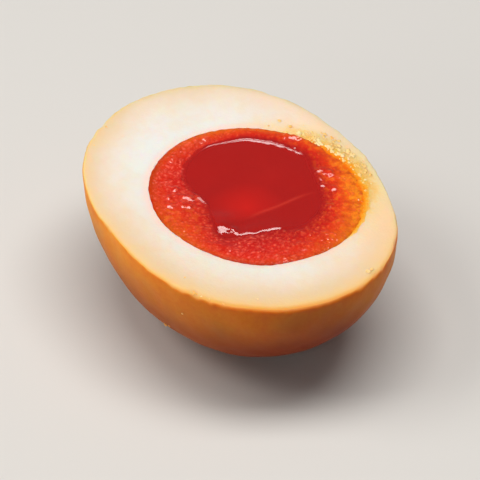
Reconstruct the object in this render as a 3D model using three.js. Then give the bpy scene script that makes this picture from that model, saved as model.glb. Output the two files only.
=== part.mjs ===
// Half of a soy-marinated soft-boiled egg, cut lengthwise and lying on its round back with the cut face up.
// Millimetres, +Z up. The long axis lies along X, and the origin is on the surface that the half rests on,
// under the middle of its outline.
//
// Three pieces sit in each other like bowls, with a small clearance between them:
//   egg_white         the firm white, from the stained skin to the hollow that the yolk fills
//   yolk_set_layer    the outer yolk, set to a gel, which shows as a ring on the cut face
//   yolk_soft_centre  the runny middle, a shallow pool inside that ring
import * as THREE from "three";
import { LoftGeometry } from "three/addons/geometries/LoftGeometry.js";

// Each body is half of an egg form under the cut plane, z = 0. Its outline there is length by width, centred
// on x and y and turned by some degrees. bluntness widens the end that its length points to, or the other end
// if negative, and fullness swells the ellipse between its axes. The yolk sits off the middle of the egg, and
// the half is rounder underneath along one side.
const EGG = { length: 57, width: 43, depth: 21.5, bluntness: -0.012, fullness: 0.012, x: 0, y: 0, turn: 0 };
const YOLK = { length: 34.2, width: 30.7, depth: 15.2, bluntness: 0.03, fullness: 0.004, x: 0.8, y: 2.4, turn: 19 };
const POOL = { length: 23.2, width: 20.8, depth: 9.5, bluntness: 0, fullness: 0.02, x: -1.5, y: 3.1, turn: -15 };

const BELLY = 0.15; // how much deeper than half an ellipsoid the undersides reach along the -Y side
const CLEARANCE = 0.3; // between two pieces
const REST_LATITUDE = 78; // degrees down the round back at which the small flat rest spot begins
const EDGE_RADIUS = 0.5; // softened edge between the skin and the cut face
const RING_TOP = { crown: 0.3, fall: 0.75, flatness: 6 }; // stands proud of the white, then falls to the pool
const POOL_TOP = { crown: -0.15, fall: 0.6, flatness: 8 }; // level in the middle, rounded over at its edge

const SEGMENTS = { white: 88, yolk: 64, pool: 48 };
const UP = new THREE.Vector3(0, 0, 1);
const QUARTER_TURN = Math.PI / 2;

// How far an egg's curve runs outside an ellipse: 1 on its axes, and most half way between them.
function swelling(angle, fullness) {
  return (1 - fullness * Math.cos(4 * angle)) / (1 - fullness);
}

// A body made smaller by an inset on every side.
function takenIn(body, inset) {
  return {
    ...body,
    length: body.length - 2 * inset,
    width: body.width - 2 * inset,
    depth: body.depth - inset,
  };
}

// The point in a direction on a body's outline, drawn in to a share of its size, at a height.
function outlinePoint(body, direction, share, height) {
  const turn = THREE.MathUtils.degToRad(body.turn);
  const angle = direction - turn;
  const swell = 1 + (swelling(angle, body.fullness) - 1) * share ** 4;
  const along = (body.length / 2) * swell * share * Math.cos(angle);
  const widening = 1 + body.bluntness * share * Math.cos(angle);
  const across = (body.width / 2) * swell * share * Math.sin(angle) * widening;
  return new THREE.Vector3(along, across, height)
    .applyAxisAngle(UP, turn)
    .add(new THREE.Vector3(body.x, body.y, 0));
}

// One closed section of a loft, anticlockwise from above, with a point for each direction.
function section(segments, pointAt) {
  return Array.from({ length: segments }, (_, i) => pointAt((i / segments) * 2 * Math.PI));
}

// Sections over a body's round underside between two latitudes, 0 at the cut plane and a quarter turn at the
// pole, where the section shrinks to a point. The belly fades out towards the +Y side and towards the pole.
function undersideSections(body, segments, from, to, steps) {
  return Array.from({ length: steps + 1 }, (_, i) => {
    const latitude = THREE.MathUtils.lerp(from, to, i / steps);
    const share = Math.cos(latitude);
    return section(segments, (direction) => {
      const belly = BELLY * ((1 - Math.sin(direction)) / 2) ** 2 * share ** 2;
      const height = -body.depth * Math.sin(latitude) * (1 + belly);
      return outlinePoint(body, direction, share, height);
    });
  });
}

// The latitude at which a body's underside lies this far below the cut plane.
function latitudeAt(body, below) {
  return Math.asin(below / body.depth);
}

// The white: its round back up from the level rest spot, the softened edge, the flat cut face and the hollow
// that the yolk fills.
function eggWhite() {
  const segments = SEGMENTS.white;
  const restLatitude = THREE.MathUtils.degToRad(REST_LATITUDE);
  const back = undersideSections(EGG, segments, restLatitude, latitudeAt(EGG, EDGE_RADIUS), 17);
  back[0].forEach((point) => point.setZ(-EGG.depth * Math.sin(restLatitude)));
  const edge = [QUARTER_TURN / 2, QUARTER_TURN].map((bend) => {
    const inner = takenIn(EGG, EDGE_RADIUS * (1 - Math.cos(bend)));
    const height = -EDGE_RADIUS * (1 - Math.sin(bend));
    return section(segments, (direction) => outlinePoint(inner, direction, 1, height));
  });
  const hollow = undersideSections(YOLK, segments, 0, QUARTER_TURN, 10);
  const faceMiddle = edge.at(-1).map((point, i) => point.clone().lerp(hollow[0][i], 0.5));
  return new LoftGeometry([...back, ...edge, faceMiddle, ...hollow], { capStart: true });
}

// The set layer: the yolk's round underside, a ring with a crowned top, and the hollow of the soft centre.
function yolkSetLayer() {
  const segments = SEGMENTS.yolk;
  const { crown, fall, flatness } = RING_TOP;
  const outer = takenIn(YOLK, CLEARANCE);
  const underside = undersideSections(outer, segments, QUARTER_TURN, 0, 10);
  const hollow = undersideSections(POOL, segments, latitudeAt(POOL, fall - crown), QUARTER_TURN, 7);
  const ring = [0.06, 0.15, 0.35, 0.65, 0.82, 0.93].map((share) => {
    const height = crown * (1 - (1 - share) ** flatness) - fall * share ** flatness;
    return underside.at(-1).map((point, i) => point.clone().lerp(hollow[0][i], share).setZ(height));
  });
  return new LoftGeometry([...underside, ...ring, ...hollow]);
}

// The soft centre: its round underside, then a top that rounds over from its edge to a level middle.
function yolkSoftCentre() {
  const segments = SEGMENTS.pool;
  const { crown, fall, flatness } = POOL_TOP;
  const body = takenIn(POOL, CLEARANCE);
  const underside = undersideSections(body, segments, QUARTER_TURN, latitudeAt(body, fall - crown), 7);
  const top = [0.97, 0.92, 0.84, 0.7, 0.4, 0].map((share) => {
    const height = crown - fall * share ** flatness;
    return section(segments, (direction) => outlinePoint(body, direction, share, height));
  });
  return new LoftGeometry([...underside, ...top]);
}

function piece(name, geometry, color, roughness) {
  const mesh = new THREE.Mesh(geometry, new THREE.MeshStandardMaterial({ color, roughness, metalness: 0 }));
  mesh.name = name;
  return mesh;
}

const egg = new THREE.Group().add(
  piece("egg_white", eggWhite(), 0xe9c79a, 0.45),
  piece("yolk_set_layer", yolkSetLayer(), 0xe05a24, 0.35),
  piece("yolk_soft_centre", yolkSoftCentre(), 0xb4231c, 0.12),
);

// Set down so that the rest spot lies on z = 0, with the middle of the outline over the origin.
const extent = new THREE.Box3().setFromObject(egg);
const centre = extent.getCenter(new THREE.Vector3());
egg.position.set(-centre.x, -centre.y, -extent.min.z);

const part = new THREE.Group();
part.add(egg);
export default part;
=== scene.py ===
import bpy
import numpy as np
from mathutils import Matrix, Vector


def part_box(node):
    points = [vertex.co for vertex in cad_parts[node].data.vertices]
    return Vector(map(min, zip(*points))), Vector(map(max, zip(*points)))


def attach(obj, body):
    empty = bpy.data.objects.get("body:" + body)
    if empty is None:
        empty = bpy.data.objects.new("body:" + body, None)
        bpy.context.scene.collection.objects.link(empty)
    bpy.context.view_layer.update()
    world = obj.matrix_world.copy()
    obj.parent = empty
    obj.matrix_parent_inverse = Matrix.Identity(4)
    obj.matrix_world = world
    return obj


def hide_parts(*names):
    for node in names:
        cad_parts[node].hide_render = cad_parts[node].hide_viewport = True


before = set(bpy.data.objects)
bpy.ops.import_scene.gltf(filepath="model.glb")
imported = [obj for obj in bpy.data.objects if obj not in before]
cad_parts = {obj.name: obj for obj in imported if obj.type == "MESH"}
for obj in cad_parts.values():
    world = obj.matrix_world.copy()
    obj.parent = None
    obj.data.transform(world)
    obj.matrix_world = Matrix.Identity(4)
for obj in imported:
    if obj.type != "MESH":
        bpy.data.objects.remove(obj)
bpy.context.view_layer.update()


# ---- The white ----
# Firm boiled egg white, soaked in soy sauce after peeling: the sauce stained its skin orange brown and crept
# a few millimetres in. A knife cut it lengthwise, which left a level face with a crisp edge, nicked in a few
# places, round the hollow that the yolk fills. The half rests on a small flat that its own weight pressed.

MM = 0.001  # shapes are worked out in millimetres and become meshes in metres
FULL_TURN = 2 * np.pi

white_low, white_high = (np.array(corner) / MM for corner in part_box("egg_white"))
CUT = white_high[2]  # height of the cut face

EGG = dict(
    length=white_high[0] - white_low[0], width=white_high[1] - white_low[1], depth=21.5,
    bluntness=-0.012, fullness=0.012, middle=(0.0, 0.0), turn=0,
)
YOLK = dict(
    length=34.2, width=30.7, depth=15.2,
    bluntness=0.03, fullness=0.004, middle=(0.8, 2.4), turn=19,
)

WHITE_AROUND = 512  # points in each row of the mesh
BACK_ROWS = 84
EDGE_ROWS = 8
FACE_ROWS = 58
BELLY = 0.15  # how much deeper the round back is along its -Y side
REST_LATITUDE = np.radians(77.5)  # where the back gives way to the flat that it rests on
SKIN_LATITUDE = 0.02  # where it gives way to the cut edge
HOLLOW_LATITUDES = np.radians([1, 3, 8, 16, 26, 38, 50, 62, 74, 84])
SKIN_SWELLS = ((0.10, 15, 1), (0.035, 4.5, 2))  # height and length in mm and seed of each noise
FACE_SWELLS = ((0.04, 12, 5), (0.008, 3.2, 6))
FACE_FADE = 1.5  # how far in from the edge the face's swells have their full height
EDGE_RADIUS = 0.34  # where the skin meets the cut face
EDGE_WAVES = ((0.25, 5, 3), (0.20, 1.3, 4))  # noises of that radius, as shares of it
EDGE_ROOM = 1.2  # how many radii below the cut the back ends
NICKS = (  # where the edge is torn: what the radius gains, in mm, and direction and width in degrees
    (0.75, 306, 2.6), (0.55, 311, 1.2), (0.40, 316, 1.6), (0.30, 321, 2.2), (0.30, 300, 1.5),
    (0.25, 296, 1.8), (0.55, 23, 1.3), (0.35, 28, 1.6), (0.30, 14, 2.0), (0.45, 206, 2.2),
    (0.30, 213, 1.4), (0.35, 262, 2.0), (0.30, 131, 2.2), (0.20, 340, 1.6), (0.22, 352, 2.0),
    (0.25, 237, 1.6),
)

SKIN_THICKNESS = 0.03
STAIN_SIDE = np.radians(10)  # where the sauce crept furthest in
STAIN_REACH = 2.1  # how much less far it crept in on the other side
STAIN_HUMPS = ((2.4, 116, 48), (-0.7, 325, 45))  # less far still or further, direction and width
STAIN_ONSET = 0.4  # depth at which these differences set in
STAIN_LEAST = 0.25  # least that they leave of a point's own depth
WARM_PLACE = (84, 42)  # direction and width of a rosy stretch of the face
WARM_DEPTH = 4.5  # how far in it goes
SHADED_SIDE_PLACE = (352, 52)  # painted shade: direction and width of the darker side
SHADED_SIDE_WAVES = ((0.10, 14, 7),)
FILM = (  # yolk wiped thin over the face: strength, direction, width in degrees and reach in mm
    (0.85, 76, 30, 2.3), (0.60, 118, 26, 2.2), (0.30, 75, 60, 6.0),
)


def swelling(angle, fullness):
    """How far an egg curve runs outside an ellipse: 1 - fullness cos(4 angle), over its value on the axes."""
    return (1 - fullness * np.cos(4 * angle)) / (1 - fullness)


def egg_point(form, direction, share, height):
    """A point of an egg form: on an ellipse, swelled near its rim, widened towards one end and drawn in to a
    share of its size, then turned, moved to the form's middle and set at a height above the cut face."""
    turn = np.radians(form["turn"])
    angle = direction - turn
    swell = 1 + (swelling(angle, form["fullness"]) - 1) * share ** 4
    along = form["length"] / 2 * swell * share * np.cos(angle)
    widening = 1 + form["bluntness"] * share * np.cos(angle)
    across = form["width"] / 2 * swell * share * np.sin(angle) * widening
    x = along * np.cos(turn) - across * np.sin(turn) + form["middle"][0]
    y = along * np.sin(turn) + across * np.cos(turn) + form["middle"][1]
    return np.stack(np.broadcast_arrays(x, y, height + CUT), axis=-1)


def underside(form, direction, latitude):
    """A point of a form's round underside: its share of the outline is the cosine of the latitude and its
    depth the sine, a little more on the -Y side. Latitude is 0 at the cut and a quarter turn at the lowest
    point."""
    share = np.cos(latitude) * np.ones_like(direction)
    belly = BELLY * ((1 - np.sin(direction)) / 2) ** 2 * share ** 2
    return egg_point(form, direction, share, -form["depth"] * np.sin(latitude) * (1 + belly))


def depth_inside(form, points):
    """How far points lie inside a form's outline, in plan: with F the distance from the middle measured in
    half axes, the outline's F less the point's own F, over the slope of F."""
    turn = np.radians(form["turn"])
    x = points[..., 0] - form["middle"][0]
    y = points[..., 1] - form["middle"][1]
    along = (x * np.cos(turn) + y * np.sin(turn)) / (form["length"] / 2)
    across = (y * np.cos(turn) - x * np.sin(turn)) / (form["width"] / 2)
    reach = np.hypot(along, across) + 1e-6
    slope = np.hypot(along / (form["length"] / 2), across / (form["width"] / 2)) / reach
    return (swelling(np.arctan2(across, along), form["fullness"]) - reach) / slope


def ripples(points, length, seed, waves=14):
    """Smooth noise of about unit height: the sum of plane waves of one length, each in a random direction
    and with a random phase."""
    random = np.random.default_rng(seed)
    heading = random.normal(size=(waves, 3))
    heading /= np.linalg.norm(heading, axis=1)[:, None]
    phase = random.uniform(0, FULL_TURN, waves)
    return np.cos(points @ heading.T * (FULL_TURN / length) + phase).sum(axis=-1) * np.sqrt(2 / waves)


def relief(points, noises):
    """The sum of smooth noises, each with its own height, length and seed."""
    return sum(height * ripples(points, length, seed) for height, length, seed in noises)


def hump(direction, degrees, width):
    """1 at one direction, given in degrees, falling away to either side as a bell of that width."""
    off = (direction - np.radians(degrees) + np.pi) % FULL_TURN - np.pi
    return np.exp(-((off / np.radians(width)) ** 2))


def humps(direction, places):
    """The sum of such bells, each with its own height, direction and width."""
    return sum(height * hump(direction, degrees, width) for height, degrees, width in places)


def directions(count):
    """Evenly spaced directions, once round."""
    return np.arange(count) / count * FULL_TURN


def closed_mesh(name, *grids):
    """A closed mesh through one or more grids of points. A grid's rows run from a lower pole up the outside
    and over the top to an upper pole, each anticlockwise seen from above, and a fan of triangles closes
    either end."""
    points, faces = [], []
    for rows in grids:
        count, around = rows.shape[:2]
        row = np.arange(count - 1)[:, None] * around
        here = np.arange(around)
        beside = np.roll(here, -1)
        quads = np.stack([row + here, row + beside, row + around + beside, row + around + here], axis=-1)
        top = (count - 1) * around
        lower_fan = np.stack([beside, here, np.full(around, count * around)], axis=-1)
        upper_fan = np.stack([top + here, top + beside, np.full(around, count * around + 1)], axis=-1)
        for part in (quads.reshape(-1, 4), lower_fan, upper_fan):
            faces += (part + len(points)).tolist()
        points += (np.concatenate([rows.reshape(-1, 3), rows[[0, -1]].mean(axis=1)]) * MM).tolist()
    mesh = bpy.data.meshes.new(name)
    mesh.from_pydata(points, [], faces)
    mesh.shade_smooth()
    piece = bpy.data.objects.new(name, mesh)
    bpy.context.collection.objects.link(piece)
    return piece


def give(piece, name, values):
    """Stores one number for each point of a closed mesh. Its poles take the mean of the row beside them."""
    numbers = np.concatenate([values.ravel(), values[[0, -1]].mean(axis=1)])
    attribute = piece.data.attributes.new(name, "FLOAT", "POINT")
    attribute.data.foreach_set("value", numbers.astype(np.float32))


def white_rows(direction):
    """The white, row by row: the back, the rounded cut edge, the face and the hollow. The back's points stand
    off the egg form by a small noise, and the nicks are where the edge's radius grows."""
    latitude = np.linspace(REST_LATITUDE, SKIN_LATITUDE, BACK_ROWS)[:, None]
    back = underside(EGG, direction, latitude)
    outward = back - (0, 0, CUT)
    outward /= np.linalg.norm(outward, axis=-1, keepdims=True)
    back = back + outward * (relief(back, SKIN_SWELLS) * np.cos(latitude) ** 0.5)[..., None]

    rim = egg_point(EGG, direction, 1.0, 0.0)
    yolk_edge = egg_point(YOLK, direction, 1.0, 0.0)
    inward = yolk_edge - rim
    inward /= np.linalg.norm(inward, axis=-1, keepdims=True)
    radius = EDGE_RADIUS * (1 + relief(rim, EDGE_WAVES)) + humps(direction, NICKS)
    bend = np.linspace(0, np.pi / 2, EDGE_ROWS)[:, None]
    skin_swell = (back[-1] - rim)[None, :, :] * np.cos(bend)[..., None] * (1, 1, 0)
    edge = rim + skin_swell + inward * (radius * (1 - np.cos(bend)))[..., None]
    edge = edge - (radius * (1 - np.sin(bend)))[..., None] * (0, 0, 1)
    back = back[back[:, 0, 2] < CUT - EDGE_ROOM * radius.max()]

    share = np.linspace(0, 1, FACE_ROWS)[1:, None, None]
    face = edge[-1] + (yolk_edge - edge[-1]) * share
    face[..., 2] += relief(face, FACE_SWELLS) * np.minimum(1, depth_inside(EGG, face) / FACE_FADE)

    hollow = underside(YOLK, direction, HOLLOW_LATITUDES[:, None])
    return np.concatenate([back, edge, face, hollow]), len(back)


direction = directions(WHITE_AROUND)
rows, skin_rows = white_rows(direction)
rows[..., 2] = np.maximum(rows[..., 2], 0)
white = closed_mesh("egg_white_half", rows)

inside = depth_inside(EGG, rows)
depth = np.maximum(inside - inside[skin_rows] - SKIN_THICKNESS, 0)
paler = STAIN_REACH * (1 - np.cos(direction - STAIN_SIDE)) / 2 + humps(direction, STAIN_HUMPS)
depth = np.maximum(depth + paler * (1 - np.exp(-depth / STAIN_ONSET)), STAIN_LEAST * depth)
depth[:skin_rows] = 0
give(white, "depth", depth)
give(white, "warm", hump(direction, *WARM_PLACE) * np.exp(-((inside / WARM_DEPTH) ** 2)))
# painted shade: the darker side of the skin
give(white, "soaked", np.clip(hump(direction, *SHADED_SIDE_PLACE) + relief(rows, SHADED_SIDE_WAVES), 0, 1))
give(white, "below", np.maximum(CUT - rows[..., 2], 0))

from_yolk = np.maximum(-depth_inside(YOLK, rows), 0)
give(white, "to_yolk", from_yolk)
heading = np.arctan2(rows[..., 1] - YOLK["middle"][1], rows[..., 0] - YOLK["middle"][0])
seeped = np.zeros(rows.shape[:2])
for strength, degrees, width, reach in FILM:
    seeped += strength * hump(heading, degrees, width) * np.exp(-((from_yolk / reach) ** 2))
seeped[:skin_rows] = 0
give(white, "seeped", seeped)


def colour(red, green, blue):
    """A colour given by its screen values, 0 to 255, as the linear values that shaders take."""
    screen = np.array([red, green, blue]) / 255
    return (*np.where(screen <= 0.04045, screen / 12.92, ((screen + 0.055) / 1.055) ** 2.4), 1.0)


TINTED_DEPTH = 12.0
FACE_TINTS = (  # how far in from the skin, as a share of that depth, and the colour there
    (0.000, colour(234, 150, 58)),
    (0.030, colour(236, 176, 92)),
    (0.070, colour(238, 198, 136)),
    (0.130, colour(235, 203, 154)),
    (0.210, colour(232, 205, 166)),
    (0.300, colour(231, 209, 179)),
    (0.420, colour(234, 215, 193)),
    (0.580, colour(234, 223, 208)),
    (0.780, colour(234, 228, 219)),
    (1.000, colour(233, 231, 226)),
)
BLOTCHED_WHITE = colour(238, 196, 122)
# painted glow: the rosy light that the yolk throws into the white beside it
YOLK_GLOW_ON_WHITE = colour(252, 208, 194)
WARM_WHITE = colour(255, 210, 184)
THIN_FILM = colour(255, 212, 156)
THICK_FILM = colour(252, 182, 80)
SKIN_TINTS = (
    (0.30, colour(232, 120, 14)),
    (0.45, colour(242, 138, 20)),
    (0.60, colour(250, 154, 30)),
    (0.75, colour(252, 170, 48)),
)
# painted shade: the skin darker towards the underside
SHADED_LOWER_SKIN = colour(156, 72, 20)
# painted shade of the darker side
SHADED_SIDE_SKIN = colour(124, 42, 8)
FINE_RELIEF = 0.1 * MM  # height of what is too fine for the meshes


class Wire:
    """A socket that a node gives out. Arithmetic on wires and numbers adds Math nodes to the same
    material."""

    def __init__(self, tree, socket=None):
        self.tree = tree
        self.socket = socket

    def node(self, kind, settings={}, inputs={}, output=0):
        """Adds a node. Its settings are made first, then its inputs take numbers, colours or wires."""
        made = self.tree.nodes.new("ShaderNode" + kind)
        for name, value in settings.items():
            if name == "stops":
                self.set_stops(made.color_ramp, value)
            else:
                setattr(made, name, value)
        for name, value in inputs.items():
            if isinstance(value, Wire):
                self.tree.links.new(value.socket, made.inputs[name])
            else:
                made.inputs[name].default_value = value
        return Wire(self.tree, made.outputs[output]) if made.outputs else None

    @staticmethod
    def set_stops(ramp, stops):
        while len(ramp.elements) < len(stops):
            ramp.elements.new(1.0)
        for element, (position, value) in zip(ramp.elements, stops):
            element.position = position
            element.color = value

    def math(self, operation, *values, clamp=False):
        return self.node("Math", {"operation": operation, "use_clamp": clamp}, dict(enumerate(values)))

    def __add__(self, other):
        return self.math("ADD", self, other)

    def __sub__(self, other):
        return self.math("SUBTRACT", self, other)

    def __rsub__(self, other):
        return self.math("SUBTRACT", other, self)

    def __mul__(self, other):
        return self.math("MULTIPLY", self, other)

    def __truediv__(self, other):
        return self.math("DIVIDE", self, other)

    __radd__ = __add__
    __rmul__ = __mul__

    def clamped(self):
        return self.math("ADD", self, 0.0, clamp=True)

    def attribute(self, name):
        return self.node("Attribute", {"attribute_name": name}, output=2)

    def place(self):
        """Where a point is on its piece, in metres."""
        return self.node("TexCoord", output=3)

    def noise(self, size, detail=2.0, roughness=0.5):
        """Noise from 0 to 1 with lumps of about this size in millimetres, fixed to the piece."""
        return self.node("TexNoise", {}, {"Vector": self.place(), "Scale": 1 / (size * MM),
                                          "Detail": detail, "Roughness": roughness})

    def sway(self, amount, size, detail=2.0, roughness=0.5):
        """Such noise to either side of 0, with this much between its ends."""
        return (self.noise(size, detail, roughness) - 0.5) * amount

    def smooth_between(self, start, end):
        """0 where this wire is at the start and 1 where it is at the end, with an S curve between."""
        return self.node("MapRange", {"interpolation_type": "SMOOTHSTEP"},
                         {"Value": self, "From Min": start, "From Max": end})

    def ramp(self, stops):
        return self.node("ValToRGB", {"stops": stops}, {"Fac": self})

    def mix(self, first, second, blend="MIX"):
        """The first colour where this wire is 0. Where it is 1, the second, or the blend of the two."""
        return self.node("Mix", {"data_type": "RGBA", "blend_type": blend},
                         {0: self, 6: first, 7: second}, output=2)

    def bump(self, strength):
        return self.node("Bump", {}, {"Strength": strength, "Distance": FINE_RELIEF, "Height": self})


def new_material(name):
    material = bpy.data.materials.new(name)
    material.use_nodes = True
    material.node_tree.nodes.clear()
    return material, Wire(material.node_tree)


def finish_material(wires, inputs):
    surface = wires.node("BsdfPrincipled", {}, inputs)
    wires.node("OutputMaterial", {}, {"Surface": surface})


def cut_face(wires, depth, near_yolk):
    """Cream inside and tan towards the skin, as deep as the sauce crept, faintly blotched, with a painted
    rosy glow beside the yolk that also lifts the shade along its edge, and yellow where yolk was wiped over
    it."""
    uneven = wires.sway(1.5, 9.0) + wires.sway(1.1, 1.6, 3.0)
    face = (depth * (uneven * 0.35 + 1.0) / TINTED_DEPTH).ramp(FACE_TINTS)
    blotches = ((wires.noise(4.5, 3.0, 0.6) - 0.48) * 5.0).clamped()
    face = (blotches * 0.16).mix(face, BLOTCHED_WHITE)
    # painted glow beside the yolk, which also lifts the shade along its edge
    face = (near_yolk * near_yolk * 0.55).mix(face, YOLK_GLOW_ON_WHITE)
    face = (wires.attribute("warm") * 0.7).mix(face, WARM_WHITE)
    grains = wires.noise(0.45, 3.0, 0.6)
    film = (wires.attribute("seeped") * (grains * 1.1 + wires.noise(2.2) * 0.9)).clamped()
    thin = (film * 1.9).clamped().mix(face, THIN_FILM)
    return (film * 1.7 - 0.75).clamped().mix(thin, THICK_FILM)


def stained_skin(wires):
    """Orange brown in soft patches and specks, with painted shade: darker towards the underside and darker
    still on one side.
    """
    patches = wires.noise(5.5, 3.0, 0.55)
    speckle = wires.noise(0.9, 3.0, 0.6)
    skin = (patches * 0.7 + speckle * 0.3).ramp(SKIN_TINTS)
    # painted shade: darker towards the underside
    lower = (wires.attribute("below") + (patches - 0.5) * 6.0).smooth_between(0.5, 12.0)
    skin = (lower * 0.9).mix(skin, SHADED_LOWER_SKIN)
    # painted shade: darker still on one side
    return (wires.attribute("soaked") * (lower * 0.3 + 0.62)).mix(skin, SHADED_SIDE_SKIN)


def stained_white():
    """The face and the skin in one moist material. Light passes through it, but hardly beside the yolk, so
    that the yolk's red doesn't spread."""
    material, wires = new_material("soy stained egg white")
    depth = wires.attribute("depth")
    near_yolk = wires.attribute("to_yolk").smooth_between(2.0, 0.3)
    on_face = (depth * 6.0).clamped()
    look = {
        "Base Color": on_face.mix(stained_skin(wires), cut_face(wires, depth, near_yolk)),
        "Roughness": 0.54 - on_face * 0.16 + wires.sway(0.12, 3.0),
        "IOR": 1.37,
        "Specular IOR Level": 0.3,
        "Coat Weight": on_face * 0.06,
        "Coat Roughness": 0.2,
        "Normal": (wires.noise(0.5, 4.0, 0.6) + wires.noise(2.0) * 1.5).bump(0.25),
        "Subsurface Weight": 1.0,
        "Subsurface Radius": (1.0, 0.55, 0.30),
    }
    clear = wires.node("BsdfPrincipled", {}, {**look, "Subsurface Scale": 2.4 * MM})
    dense = wires.node("BsdfPrincipled", {}, {**look, "Subsurface Scale": 0.3 * MM})
    surface = wires.node("MixShader", {}, {0: near_yolk, 1: clear, 2: dense})
    wires.node("OutputMaterial", {}, {"Surface": surface})
    return material


white.data.materials.append(stained_white())
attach(white, "root")
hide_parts("egg_white")


# ---- The set yolk ----
# The outer yolk, which the boil set to a soft, finely granular gel. It stands a little proud of the cut
# white, as it swelled when the knife let it go, and falls at its inner edge to the runny middle. In a few
# places the knife dragged up small lumps of it.

SET_YOLK = dict(
    YOLK, length=YOLK["length"] - 0.04, width=YOLK["width"] - 0.04, depth=YOLK["depth"] - 0.05,
)
POOL = dict(
    length=23.2, width=20.8, depth=9.5,
    bluntness=0, fullness=0.02, middle=(-1.5, 3.1), turn=-15,
)
POOL_SPREAD = (  # share by which the pool's edge lies further out, or in, and direction and width in degrees
    (-0.10, 258, 26), (0.04, 18, 35), (-0.06, 76, 20), (-0.14, 266, 18), (-0.08, 284, 13),
    (-0.04, 50, 20), (-0.05, 139, 26), (-0.045, 121, 11), (0.13, 304, 13), (-0.08, 344, 17),
)
POOL_WAVES = ((0.008, 4.5, 21), (0.004, 1.8, 22))
JOIN_LEVEL = -0.20  # where the set yolk and the pool meet, from the cut
JOIN_HUMPS = ((0.34, 138, 44), (0.10, 325, 40))

RING_AROUND = 800
RING_ROWS = 102
ROW_CROWDING = 0.11  # how much of their even spacing the rows give up to lie closer at the ring's two edges
LAP = 0.35  # how far the ring runs out over the white and in under the pool
RING_CROWN = 0.12  # how far the ring stands proud of the cut face
CROWN_HUMPS = ((0.08, 262, 40), (-0.05, 70, 40))
EDGE_SINK = 0.25  # how deep in the white the ring starts
EDGE_ROUND = 0.22  # how soon it is up
FALL_START = 0.2  # share of the way across where the ring starts to fall
RING_SWELLS = ((0.05, 3.0, 34),)
RIM_WAVES = ((0.03, 1.3, 37),)
RIM_REACH = 0.5  # how far in from the outer edge they go
HOLLOW_DROP = 0.2  # how far below the join the hollow under the pool starts
HOLLOW_DEPTH = POOL["depth"] - 0.7

EDGE_MARGIN = 0.15  # how far outside the ring's outer edge its roughness starts
EDGE_FADE = 0.5  # how far in from there, and from the pool, it has its full height
GRAIN_SIZE = 0.68
COARSE_GRAIN = 0.13  # height of the large grains
FINE_GRAIN = 0.05
GRAIN_FADE = 1.6  # how far from the pool the grains have their full height
GRAIN_LEAST = 0.35  # share of it that they have beside the pool
ROUGHNESS = 0.55  # share of it that they have on the whole
ROUGH_WAVES = ((0.30, 6.0, 33),)  # where the grains stand higher or lower
ROUGH_HUMPS = ((0.35, 345, 75),)
ROUGH_RANGE = (0.2, 1.2)
SMOOTH_PLACE = (140, 45)  # direction and width of a stretch where they stand lower
SMOOTH_LUMP = 0.12  # height at which a lump is nearly free of them
WARPED = (0.14, 2.4, 35)  # how far the grains' places wander, over what length, and a seed
TORN = (0.09, 1.1, 38)  # the same of the torn lumps' outlines
RING_FLAP = (-2.6, -5.2, 1.80, 0.42, 14, 0.41)  # a smooth lap: x, y, length, width, turn in degrees, height
RING_LUMPS = (  # the same of the torn lumps
    (-3.9, -7.2, 1.20, 0.76, 60, 0.52), (-2.9, -8.7, 1.00, 0.72, 40, 0.44),
    (-1.9, -7.5, 0.60, 0.52, 80, 0.34), (-5.0, -9.7, 0.55, 0.62, 60, 0.38),
    (-3.5, -10.5, 0.62, 0.52, 20, 0.34), (-6.6, -7.6, 0.62, 0.56, 60, 0.34),
    (-5.3, -8.5, 0.50, 0.45, 60, 0.26), (0.6, 13.9, 1.10, 0.68, 60, 0.36),
    (2.0, 14.8, 0.54, 0.70, 60, 0.34), (3.8, 12.5, 0.80, 0.60, 60, 0.30),
    (5.3, 13.5, 0.50, 0.64, 60, 0.31), (2.2, 13.0, 0.90, 0.36, 12, 0.20),
    (-8.1, 14.9, 0.90, 0.60, 60, 0.42), (-9.2, 13.7, 0.45, 0.60, 60, 0.37),
    (-6.2, 13.2, 0.50, 0.50, 60, 0.15), (8.6, 11.0, 0.55, 0.42, 60, 0.20),
)

PAINTED_LIGHT_ON_LEFT = ((-0.5, 215, 50),)  # painted light: where the ring's outer colours reach further towards the pool, lighting up the shaded slope to it on the left
BRINK_START = 0.72  # share of the way across where it starts to redden raggedly
BAND_PLACE = (226, 20)  # direction and width of a brown line along the outer edge
BAND_WIDTH = 0.13  # as a share of the way across
FEWER_GRAINS = ((-0.6, 108, 36),)  # where fewer pale grains show
ROSY = ((1.0, 220, 45), (0.9, 325, 34))  # where its grains are pink and not orange
WARMTH = ((1.0, 60, 40), (0.20, 280, 22), (0.40, 160, 40))  # where it is orange and not red
BLOTCHED = ((1.0, 66, 46), (0.35, 274, 22))  # where it is blotched and streaked


def pool_outline(direction, share=1.0):
    """The edge of the runny middle, or a smaller copy of it: the pool's egg curve, pinched and spread by a
    few humps and a noise."""
    edge = egg_point(POOL, direction, 1.0, 0.0)
    spread = 1 + humps(direction, POOL_SPREAD) + relief(edge, POOL_WAVES)
    middle = np.array([*POOL["middle"], CUT])
    return middle + (edge - middle) * (spread * share)[..., None]


def join_height(direction):
    """How high the set yolk and the pool meet, from the cut: the pool climbs the set yolk on the far side and
    meets it level elsewhere."""
    return JOIN_LEVEL + humps(direction, JOIN_HUMPS)


def smooth_step(x):
    """0 up to 0, 1 from 1 on, and x squared times 3 - 2 x between."""
    x = np.clip(x, 0, 1)
    return x * x * (3 - 2 * x)


def shifted(points, far, length, seed):
    """Points moved about in plan by two smooth noises of this height, so that what is worked out from them
    comes out ragged."""
    shift = np.stack([ripples(points, length, seed), ripples(points, length, seed + 1)], axis=-1)
    return np.concatenate([points[..., :2] + far * shift, points[..., 2:]], axis=-1)


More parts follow.
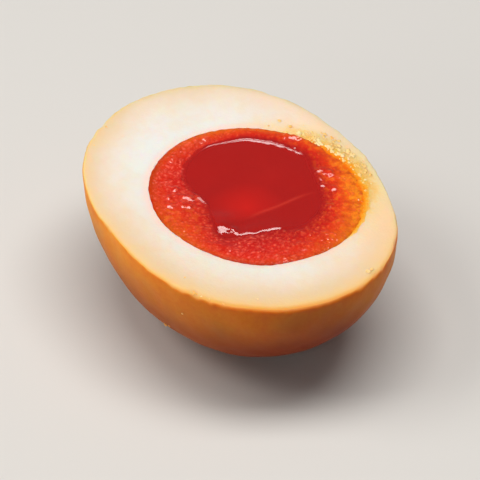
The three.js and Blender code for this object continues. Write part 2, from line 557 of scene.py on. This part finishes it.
def grains(points, size, seed, squares=64):
    """Small grains: the height of the nearest one and a shade of its own, both 0 to 1. There is one grain in
    each square of a lattice of that size, at a random place in its square, so the nearest is in a point's own
    square or in one around it. Its height is a bell of the distance, as tall as its shade. The lattice
    repeats after a number of squares."""
    random = np.random.default_rng(seed)
    place, shades = random.random((squares, squares, 2)), random.random((squares, squares))
    lattice = points[..., :2] / size
    square = np.floor(lattice).astype(int)
    nearest = np.full(points.shape[:-1], 9.0)
    shade = np.zeros(points.shape[:-1])
    for step in np.ndindex(3, 3):
        near = square + np.array(step) - 1
        grain = near[..., 0] % squares, near[..., 1] % squares
        distance = np.linalg.norm(lattice - near - place[grain], axis=-1)
        shade = np.where(distance < nearest, shades[grain], shade)
        nearest = np.minimum(nearest, distance)
    return np.exp(-((nearest / 0.31) ** 2)) * (0.35 + 0.65 * shade), shade


def lumps(points, spots):
    """The height of soft lumps, each an oval bell about its own spot, longer one way than the other."""
    total = 0
    for x, y, length, width, turn, height in spots:
        off_x, off_y = points[..., 0] - x, points[..., 1] - y
        cos, sin = np.cos(np.radians(turn)), np.sin(np.radians(turn))
        along = (off_x * cos + off_y * sin) / length
        across = (off_y * cos - off_x * sin) / width
        total = total + height * np.exp(-(along ** 2 + across ** 2))
    return total


def ring_rows(direction):
    """The set yolk, row by row: its round underside, a ring across the cut face and the hollow that holds the
    pool. The ring comes up out of the white to a low crown and falls level to the pool, roughened by grains
    of two sizes and by lumps that are nearly free of them. Both its edges are carried on a little way, down
    into the white and down under the pool."""
    below = underside(SET_YOLK, direction, np.radians(np.linspace(84, 1.5, 10))[:, None])
    start = egg_point(SET_YOLK, direction, 1.0, 0.0)
    inner = pool_outline(direction)
    width = np.linalg.norm(inner - start, axis=-1)
    even = np.linspace(0, 1, RING_ROWS)[:, None]
    reach = (width + 2 * LAP) * (even - ROW_CROWDING * np.sin(FULL_TURN * even)) - LAP
    share = reach / width
    ring = start + (inner - start) * share[..., None]

    crown = RING_CROWN + humps(direction, CROWN_HUMPS)
    rise = crown - (crown + EDGE_SINK) * np.exp(-(reach + LAP) / EDGE_ROUND)
    fall = smooth_step((share - FALL_START) / (1 - FALL_START))
    level = rise * (1 - fall) + join_height(direction) * fall - np.maximum(reach - width, 0) ** 2

    inside = np.clip(np.minimum(reach + EDGE_MARGIN, width - reach), 0, None)
    off_edges = smooth_step(inside / EDGE_FADE)
    dragged = lumps(shifted(ring, *TORN), RING_LUMPS) + lumps(ring, [RING_FLAP])
    warped = shifted(ring, *WARPED)
    coarse, shade = grains(warped, GRAIN_SIZE, seed=31)
    fine, fine_shade = grains(warped, GRAIN_SIZE / 2, seed=32)
    faded = off_edges * (GRAIN_LEAST + (1 - GRAIN_LEAST) * smooth_step((width - reach) / GRAIN_FADE))
    rough = np.clip(ROUGHNESS + relief(ring, ROUGH_WAVES) + humps(direction, ROUGH_HUMPS), *ROUGH_RANGE)
    rough = rough * (1 - 0.6 * hump(direction, *SMOOTH_PLACE)) * faded
    rough = rough * (1 - 0.85 * np.minimum(1, dragged / SMOOTH_LUMP))
    height = level + (COARSE_GRAIN * coarse * shade + FINE_GRAIN * fine * fine_shade) * rough
    height = height + relief(ring, RING_SWELLS) * np.minimum(1, inside)
    height = height + relief(ring, RIM_WAVES) * np.exp(-((reach / RIM_REACH) ** 2))
    ring[..., 2] = CUT + height + dragged * off_edges

    down = np.linspace(0.08, 0.96, 8)[:, None] * np.pi / 2
    hollow = pool_outline(direction, 0.96 * np.cos(down) * np.ones(len(direction)))
    hollow[..., 2] = CUT + join_height(direction) - HOLLOW_DROP - HOLLOW_DEPTH * np.sin(down)
    pale = (0.9 * coarse * shade + 0.6 * fine * fine_shade) * faded
    return np.concatenate([below, ring, hollow]), len(below), share, pale


direction = directions(RING_AROUND)
rows, first, share, pale = ring_rows(direction)
ring = closed_mesh("yolk_set_ring", rows)


def give_ring(name, values, hollow=0):
    """Stores a number on the rows across the cut face, with 0 on the underside and one value in the
    hollow."""
    numbers = np.zeros(rows.shape[:2])
    numbers[first:first + RING_ROWS] = values
    numbers[first + RING_ROWS:] = hollow
    give(ring, name, numbers)


# painted light on the left shifts the colours across the ring
give_ring("across", np.clip(share, 0, 1) * (1 + humps(direction, PAINTED_LIGHT_ON_LEFT)), hollow=1)
give_ring("brink", np.clip((share - BRINK_START) / (1 - BRINK_START), 0, 1), hollow=1)
give_ring("band", hump(direction, *BAND_PLACE) * np.exp(-((share / BAND_WIDTH) ** 2)))
give_ring("grain", pale * (1 + humps(direction, FEWER_GRAINS)))
for name, places in (("rosy", ROSY), ("warmth", WARMTH), ("blotched", BLOTCHED)):
    give(ring, name, np.broadcast_to(humps(direction, places), rows.shape[:2]))

RED_SIDE = (  # share of the way across the ring, and the colour there
    (0.00, colour(190, 44, 4)),
    (0.07, colour(216, 52, 4)),
    (0.20, colour(220, 30, 4)),
    (0.50, colour(208, 18, 6)),
    (0.80, colour(188, 14, 9)),
    (1.00, colour(172, 16, 12)),
)
ORANGE_SIDE = (
    (0.00, colour(244, 152, 12)),
    (0.18, colour(246, 136, 6)),
    (0.38, colour(240, 94, 2)),
    (0.60, colour(226, 42, 4)),
    (0.84, colour(194, 18, 8)),
    (1.00, colour(172, 16, 12)),
)
DARK_BLOTCH = colour(198, 66, 0)
LIGHT_STREAK = colour(255, 150, 22)
BRINK_RED = colour(176, 16, 12)
MOTTLE = colour(208, 156, 156)
ORANGE_GRAIN = colour(252, 96, 44)
ROSY_GRAIN = colour(255, 112, 92)
BAND_BROWN = colour(186, 58, 3)


def granular_yolk():
    """Orange at the rim, through orange red, to deep red beside the pool, blotched where it is warmest, with
    paler grains and a wet gloss."""
    material, wires = new_material("granular set yolk")
    reach = wires.attribute("across")
    wander = wires.sway(0.34, 2.6, 3.0, 0.6) + wires.sway(0.14, 0.6)
    across = (reach + wander * (reach * 3.0).clamped()).clamped()
    base = wires.attribute("warmth").clamped().mix(across.ramp(RED_SIDE), across.ramp(ORANGE_SIDE))
    patches = wires.noise(1.3, 2.0, 0.6)
    outwards = wires.attribute("blotched") * (1.0 - reach)
    base = (((patches - 0.51) * 9.0).clamped() * outwards * 0.8).mix(base, DARK_BLOTCH)
    base = (((0.47 - patches) * 9.0).clamped() * outwards * 0.85).mix(base, LIGHT_STREAK)
    brink = ((wires.attribute("brink") - wires.noise(0.9, 3.0, 0.65)) * 5.0 + 0.1).clamped()
    base = (brink * 0.85).mix(base, BRINK_RED)
    mottle = (0.5 - wires.noise(0.85, 3.0, 0.62)) * 2.5
    base = mottle.clamped().mix(base, MOTTLE, blend="MULTIPLY")
    rosy = wires.attribute("rosy")
    pale = (wires.attribute("grain") * 1.4).clamped() * (rosy * 0.2 + 0.55)
    base = pale.mix(base, rosy.mix(ORANGE_GRAIN, ROSY_GRAIN))
    base = (wires.attribute("band") * 0.85).mix(base, BAND_BROWN)
    finish_material(wires, {
        "Base Color": base,
        "Roughness": 0.20 + wires.noise(1.5) * 0.2,
        "IOR": 1.36,
        "Specular IOR Level": 0.2,
        "Coat Weight": (reach * 14.0).clamped(),
        "Coat Roughness": 0.13,
        "Coat IOR": 1.6,
        "Normal": wires.noise(0.26, 3.0, 0.6).bump(0.5),
        "Subsurface Weight": 0.5,
        "Subsurface Radius": (1.0, 0.25, 0.08),
        "Subsurface Scale": 0.3 * MM,
    })
    return material


ring.data.materials.append(granular_yolk())
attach(ring, "root")
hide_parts("yolk_set_layer")


# ---- The runny middle ----
# The middle of the yolk, which the boil left as a thick red jam. It lies in the set yolk as a still pool,
# level and mirror smooth but for a low fold in its own skin and for a few swells at its near edge, where the
# knife dragged it.

POOL_AROUND = 640
POOL_ROWS = 104
POOL_LAP = np.linspace(1.035, 1.002, 6)  # shares of the outline at which the edge goes on into the set yolk
POOL_RADIUS = 10.8  # about its mean radius: a share of the outline times this is a distance
POOL_DEPTH = POOL["depth"] - 0.6
POOL_LEVEL = -0.22  # height of its middle, from the cut
POOL_SWELLS = ((0.02, 7.5, 41),)
POOL_LUMPS = (  # x, y, length, width, turn in degrees and height of the near edge's swells and one dent
    (4.77, -6.02, 1.60, 1.20, 60, 0.55), (3.16, -5.08, 2.40, 1.80, 60, 0.50),
    (6.22, -4.78, 0.70, 0.62, 60, 0.34), (6.38, -5.74, 0.50, 0.35, 60, -0.16),
    (7.01, -4.66, 0.50, 0.40, 60, 0.15),
)
NEAR_PLACE = (336, 20)  # direction and width of the near side
RIM_SLOPE = 0.62  # how steeply the near side of the pool rolls over
RIM_ROLL = 0.34  # over what distance
ROLL_WAVES = ((0.08, 3.0, 43),)
RIM_FADE = 2.2  # how soon it falls level again
NEAR_SETTLE = 1.2  # how soon the near side leaves the height where it meets the set yolk
CLIMB_SLOPE = 0.48  # how steeply its far side climbs the set yolk
CLIMB_ROUND = 0.15  # how soft the foot of that slope is
FOLD_X = 4.6  # where the fold crosses the pool
FOLD_WAVES = ((0.25, 9.0, 42),)
FOLD_STEP = 0.04  # half the height that the pool drops there
FOLD_WIDTH = 0.4  # over about what distance
FOLD_SHEEN_WIDTH = 0.28  # width of the paler line along it, a painted sheen


def past_fold(points):
    """How far points lie beyond the fold, which runs across the pool and wanders by a noise."""
    return points[..., 0] - FOLD_X - relief(points, FOLD_WAVES)


def pool_rows(direction):
    """The runny middle, row by row: its underside, then a top that leaves the set yolk level, rises over a
    rounded rim on the near side, and lies level in the middle. The fold is a low soft step across it, and the
    edge is carried on a little way down into the set yolk."""
    down = np.linspace(0.96, 0.05, 10)[:, None] * np.pi / 2
    below = pool_outline(direction, 0.998 * np.cos(down) * np.ones(len(direction)))
    below[..., 2] = CUT + join_height(direction) - POOL_DEPTH * np.sin(down)

    share = np.concatenate([POOL_LAP, 1 - np.linspace(0, 0.985, POOL_ROWS) ** 1.2])[:, None]
    top = pool_outline(direction, share * np.ones(len(direction)))
    inwards = np.maximum(1 - share, 0) * POOL_RADIUS
    beneath = (np.maximum(share - 1, 0) * POOL_RADIUS) ** 2
    near = np.clip(1.7 * hump(direction, *NEAR_PLACE), 0, 1)
    roll = RIM_ROLL + relief(top, ROLL_WAVES)
    rim = RIM_SLOPE * roll * near * np.minimum(inwards / roll, 1)
    rim = rim * np.exp(-((np.maximum(inwards - roll, 0) / RIM_FADE) ** 2))
    drop = join_height(direction) - POOL_LEVEL
    climb = (1 - inwards * CLIMB_SLOPE / (drop + 0.01)) / CLIMB_ROUND
    settle = near * np.exp(-inwards / NEAR_SETTLE) + (1 - near) * np.logaddexp(0, climb) * CLIMB_ROUND
    level = POOL_LEVEL + drop * settle + rim
    level = level + relief(top, POOL_SWELLS) * np.minimum(1, inwards / 1.5)
    fold = np.tanh(past_fold(top) / FOLD_WIDTH) * np.exp(-(((top[..., 1] - 5) / 6) ** 4))
    level = level - FOLD_STEP * fold * np.minimum(1, inwards / 2)
    top[..., 2] = CUT + level - beneath + lumps(top, POOL_LUMPS) * np.minimum(1, inwards / 0.4)
    return np.concatenate([below, top])


direction = directions(POOL_AROUND)
rows = pool_rows(direction)
pool = closed_mesh("yolk_runny_middle", rows)
fold_stretch = np.exp(-(((rows[..., 1] - 4.5) / 5) ** 4))
# the paler line along the fold, a painted sheen
give(pool, "fold", np.exp(-((past_fold(rows) / FOLD_SHEEN_WIDTH) ** 2)) * fold_stretch)
give(pool, "beyond", smooth_step((rows[..., 0] - FOLD_X) / 1.5 + 0.5))

RUNNY_RED = colour(174, 18, 12)
LIT_RED = colour(210, 24, 14)
# painted sheen along the fold
PAINTED_FOLD_SHEEN = colour(226, 66, 48)
GLOW_SHIFT = (-2.4 * MM, 0.2 * MM, 0)  # brings the middle of the glow to the origin
GLOW_RADIUS = 6.0 * MM


def runny_yolk():
    """Deep clear red with a mirror gloss, a little brighter where light comes up through it."""
    material, wires = new_material("runny yolk")
    place = wires.node("Mapping", {"vector_type": "POINT"},
                       {"Vector": wires.place(), "Location": GLOW_SHIFT, "Scale": (1, 1, 0)})
    away = wires.node("VectorMath", {"operation": "LENGTH"}, {0: place}, output=1)
    glow = (1.0 - away / GLOW_RADIUS).clamped() * 0.8 + wires.sway(0.4, 6.0, 1.0)
    glow = (glow * (1.0 - wires.attribute("beyond"))).clamped()
    # the fold's paler line is a painted sheen
    base = (wires.attribute("fold") * 0.4).mix(glow.mix(RUNNY_RED, LIT_RED), PAINTED_FOLD_SHEEN)
    finish_material(wires, {
        "Base Color": base,
        "Roughness": 0.06 + wires.noise(5.0) * 0.04,
        "IOR": 1.36,
        "Coat Weight": 1.0,
        "Coat Roughness": 0.09,
        "Coat IOR": 1.55,
        "Subsurface Weight": 0.35,
        "Subsurface Radius": (1.0, 0.20, 0.08),
        "Subsurface Scale": 0.3 * MM,
    })
    return material


pool.data.materials.append(runny_yolk())
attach(pool, "root")
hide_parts("yolk_soft_centre")


# ---- The yolk that seeped out ----
# A thin smear of yolk that ran over the white on one side when the egg was opened, orange where it lies thick
# against the set yolk and yellow where it thins out.

SEEP_FROM = np.radians(22)
SEEP_TO = np.radians(126)
SEEP_ROWS = 560
SEEP_AROUND = 96
SEEP_TIP = 0.004  # share of its length left off at either end
SEEP_WIDTH = 1.6
SEEP_LEAST = 0.3  # least width
SEEP_WAVES = ((0.22, 6.0, 51), (0.15, 2.5, 52))  # noises of that width, as shares of it
SEEP_NARROW = ((-0.45, 52, 26),)  # where it is narrower
SEEP_OVERLAP = 1.1  # how far in it starts, on the set yolk
SEEP_HEIGHT = 0.15  # where it leaves the set yolk, from the cut
SEEP_COARSE, SEEP_FINE = (0.55, 0.07), (0.3, 0.03)  # size and height of its grains
SEEP_SWELLS = ((0.02, 1.4, 55),)
SEEP_UNDERSIDE = -0.22  # from the cut


def seep_rows(along, around):
    """The smear: loops along the yolk's edge. The upper half of each rises out of the set yolk and falls to
    the white, and the lower half runs back under both. It is grainy, so that it breaks up where it is thin,
    and it narrows and sinks to nothing at its ends."""
    direction = (SEEP_FROM + (SEEP_TO - SEEP_FROM) * along)[:, None]
    taper = np.sin(np.pi * along)[:, None] ** 0.7
    edge = egg_point(YOLK, direction, 1.0, 0.0)
    outward = edge - np.array([*YOLK["middle"], CUT])
    outward /= np.linalg.norm(outward, axis=-1, keepdims=True)
    width = SEEP_WIDTH * (1 + humps(direction, SEEP_NARROW)) * taper * (1 + relief(edge, SEEP_WAVES))
    width = np.maximum(SEEP_LEAST, width)
    reach = (1 - np.cos(around)) / 2
    out = reach * (width + SEEP_OVERLAP) - SEEP_OVERLAP
    points = edge + outward * out[..., None]

    coarse, shade = grains(points, SEEP_COARSE[0], seed=53)
    fine, fine_shade = grains(points, SEEP_FINE[0], seed=54)
    inner_slope = 0.16 * (out / SEEP_OVERLAP) ** 2
    outer_slope = 0.18 * (np.maximum(out, 0) / width) ** 1.5
    ramp = SEEP_HEIGHT - np.where(out < 0, inner_slope, outer_slope)
    rough = SEEP_COARSE[1] * coarse * shade + SEEP_FINE[1] * fine * fine_shade
    rough = rough + relief(points, SEEP_SWELLS) - 0.03
    top = (ramp + rough * np.sin(around / 2) ** 0.5) * taper - 0.04 * (1 - taper)
    top = np.maximum(top, SEEP_UNDERSIDE + 0.02)
    points[..., 2] = CUT + np.where(around < np.pi, top, SEEP_UNDERSIDE)
    return points, reach * np.ones_like(width), coarse * shade + 0.5 * fine * fine_shade


along = np.linspace(SEEP_TIP, 1 - SEEP_TIP, SEEP_ROWS)
rows, reach, pale = seep_rows(along, directions(SEEP_AROUND))
seep = closed_mesh("yolk_seep", rows)
give(seep, "reach", reach)
give(seep, "grain", pale)

SEEP_TINTS = (  # share of the way out over the white, and the colour there
    (0.00, colour(226, 84, 4)),
    (0.25, colour(236, 108, 6)),
    (0.45, colour(240, 134, 14)),
    (0.70, colour(250, 166, 40)),
    (0.95, colour(254, 206, 112)),
)
SEEP_GRAIN = colour(255, 196, 96)


def seeped_yolk():
    """Orange where thick and yellow where thin, mottled, with pale grains, wet."""
    material, wires = new_material("seeped yolk")
    reach = wires.attribute("reach") + wires.sway(0.6, 0.9, 3.0, 0.65)
    tint = (wires.attribute("grain") * reach * 0.7).clamped().mix(reach.ramp(SEEP_TINTS), SEEP_GRAIN)
    finish_material(wires, {
        "Base Color": tint,
        "Roughness": 0.2 + wires.noise(1.2) * 0.15,
        "IOR": 1.38,
        "Specular IOR Level": 0.25,
        "Normal": wires.noise(0.3, 3.0).bump(0.4),
        "Subsurface Weight": 0.4,
        "Subsurface Radius": (1.0, 0.5, 0.25),
        "Subsurface Scale": 0.06 * MM,
    })
    return material


seep.data.materials.append(seeped_yolk())
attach(seep, "root")


# ---- The crumbs ----
# Crumbs of set yolk and torn white that the knife carried along. They lie in the seeped yolk and on the white
# round it, in the nicks of the cut edge and on the skin.

CRUMBS = (  # x, y, size and depth below the cut face
    (-8.6, 15.5, 0.36, 0), (-8.0, 15.9, 0.26, 0), (-5.0, 17.1, 0.24, 0), (-1.2, 18.2, 0.26, 0),
    (15.9, -17.4, 0.40, 0.25), (16.4, -17.2, 0.26, 0.15), (17.4, -16.8, 0.34, 0.3),
    (18.3, -16.2, 0.20, 0.15), (20.4, -14.9, 0.22, 0.15), (25.0, 8.0, 0.42, 0.15),
    (24.8, 8.8, 0.26, 0.10), (25.6, 6.8, 0.20, 0.25), (-25.0, -9.2, 0.26, 0.15),
    (-22.1, -13.1, 0.18, 0.10), (12.2, -16.8, 0.14, 0), (22.2, -9.8, 0.14, 0),
)
SKIN_CRUMBS = ((287, 33, 0.30), (290, 31, 0.18), (300, 12, 0.14))  # direction, latitude and size
SCATTER = 150  # how many fine crumbs are strewn along the yolk's edge
SCATTER_HEADING = (104, 17)  # mean and spread of their directions, in degrees
SCATTER_ENDS = (66, 140)
SCATTER_START = 0.992  # where they start, as a share of the yolk's outline
SCATTER_REACH = 0.195  # how much further out the last ones lie
RIM_CLEARANCE = 0.9  # those that come nearer to the egg's rim are left out


def crumb_rows(place, size, seed, flat=0.7, count=12, around=20):
    """A crumb: a small ball, flattened and made lumpy by two ripples along its own radius, one with this seed
    and one with the next."""
    latitude = np.linspace(-1, 1, count)[:, None] * (1 - 1 / count) * np.pi / 2
    turn = directions(around)
    ball = np.stack([np.cos(latitude) * np.cos(turn), np.cos(latitude) * np.sin(turn),
                     np.sin(latitude) * np.ones(around)], axis=-1)
    lumpy = 1 + relief(ball, ((0.22, 2.2, seed), (0.10, 0.9, seed + 1)))
    return np.array(place) + ball * (size * lumpy)[..., None] * (1.25, 0.9, flat)


grids = []
for i, (x, y, size, under) in enumerate(CRUMBS):
    grids.append(crumb_rows((x, y, CUT - under), size, 60 + 2 * i))
for i, (degrees, latitude, size) in enumerate(SKIN_CRUMBS):
    spot = underside(EGG, np.radians(np.array([degrees])), np.radians(latitude))[0]
    grids.append(crumb_rows(spot, size, 160 + 2 * i))
random = np.random.default_rng(71)
heading = np.radians(np.clip(random.normal(*SCATTER_HEADING, SCATTER), *SCATTER_ENDS))
outwards = SCATTER_REACH * random.random(SCATTER) ** 1.3
spots = egg_point(YOLK, heading, SCATTER_START + outwards, 0.05 - 0.5 * outwards)
for i, spot in enumerate(spots[depth_inside(EGG, spots) > RIM_CLEARANCE]):
    size = 0.13 + 0.24 * random.random() ** 2
    grids.append(crumb_rows(spot, size, 200 + 2 * i, flat=0.45, count=6, around=10))
crumbs = closed_mesh("egg_crumbs", *grids)

CRUMB_TINTS = (
    (0.35, colour(255, 224, 168)),
    (0.50, colour(254, 212, 138)),
    (0.65, colour(254, 192, 100)),
)


def crumbly_egg():
    """Pale yellow, moist, from one crumb to the next a little more orange or more white."""
    material, wires = new_material("egg crumbs")
    finish_material(wires, {
        "Base Color": wires.noise(2.6, 1.0).ramp(CRUMB_TINTS),
        "Roughness": 0.45,
        "IOR": 1.37,
        "Specular IOR Level": 0.3,
        "Subsurface Weight": 0.3,
        "Subsurface Radius": (1.0, 0.7, 0.4),
        "Subsurface Scale": 0.04 * MM,
    })
    return material


crumbs.data.materials.append(crumbly_egg())
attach(crumbs, "root")


# ---- The table, the light and the camera ----
# A plain pale table top under three soft lights, a large one overhead, one in front and one at the left. A
# long lens looks down on the half from beyond its narrower end.

TABLE_SIZE = 3.0
TABLE_GREY = colour(216, 213, 208)
VIEW_AZIMUTH = np.radians(59.8)
VIEW_ELEVATION = np.radians(40)
VIEW_DISTANCE = 2.0
TARGET_HEIGHT = 0.0125
LENS = 978  # focal length in mm
NEAREST = 0.01  # metres from the lens, within which nothing is drawn
LIGHTS = (  # name, metres up, away and right from the target, size in metres, power in watts and tint
    ("overhead", (0.60, 0.02, 0.05), (0.56, 0.24), 3.05, (1.0, 0.985, 0.97)),
    ("front", (0.20, -0.46, -0.42), (0.45, 0.25), 0.68, (1.0, 0.97, 0.93)),
    ("left", (0.58, -0.02, -0.54), (0.40, 0.40), 2.32, (1.0, 0.98, 0.95)),
)
SKY_TINT = (0.93, 0.96, 1.0, 1.0)
SKY_STRENGTH = 0.11

table = bpy.data.objects.new("table", bpy.data.meshes.new("table"))
half = TABLE_SIZE / 2
corners = [(-half, -half, 0), (half, -half, 0), (half, half, 0), (-half, half, 0)]
table.data.from_pydata(corners, [], [(0, 1, 2, 3)])
bpy.context.collection.objects.link(table)
material, wires = new_material("pale table")
finish_material(wires, {"Base Color": TABLE_GREY, "Roughness": 0.7})
table.data.materials.append(material)

away = Vector((-np.sin(VIEW_AZIMUTH), np.cos(VIEW_AZIMUTH), 0))
right = Vector((np.cos(VIEW_AZIMUTH), np.sin(VIEW_AZIMUTH), 0))
up = Vector((0, 0, 1))
target = Vector((0, 0, TARGET_HEIGHT))


def aim(thing, place):
    """Puts a light or the camera at a place, turned to the target, with its own X axis to the view's
    right."""
    back = (place - target).normalized()
    side = (right - back * right.dot(back)).normalized()
    thing.matrix_world = Matrix((side, back.cross(side), back)).transposed().to_4x4()
    thing.location = place
    bpy.context.collection.objects.link(thing)


for name, (upwards, beyond, sideways), size, power, tint in LIGHTS:
    light = bpy.data.lights.new(name, "AREA")
    light.shape = "RECTANGLE"
    light.size, light.size_y = size
    light.energy = power
    light.color = tint
    place = target + up * upwards + away * beyond + right * sideways
    aim(bpy.data.objects.new(name, light), place)

world = bpy.data.worlds.new("studio")
bpy.context.scene.world = world
world.use_nodes = True
sky = world.node_tree.nodes["Background"].inputs
sky["Color"].default_value = SKY_TINT
sky["Strength"].default_value = SKY_STRENGTH

lens = bpy.data.cameras.new("camera")
lens.lens = LENS
lens.clip_start = NEAREST
camera = bpy.data.objects.new("camera", lens)
line = -away * np.cos(VIEW_ELEVATION) + up * np.sin(VIEW_ELEVATION)
aim(camera, target + line * VIEW_DISTANCE)
bpy.context.scene.camera = camera
bpy.context.scene.view_settings.view_transform = "Standard"
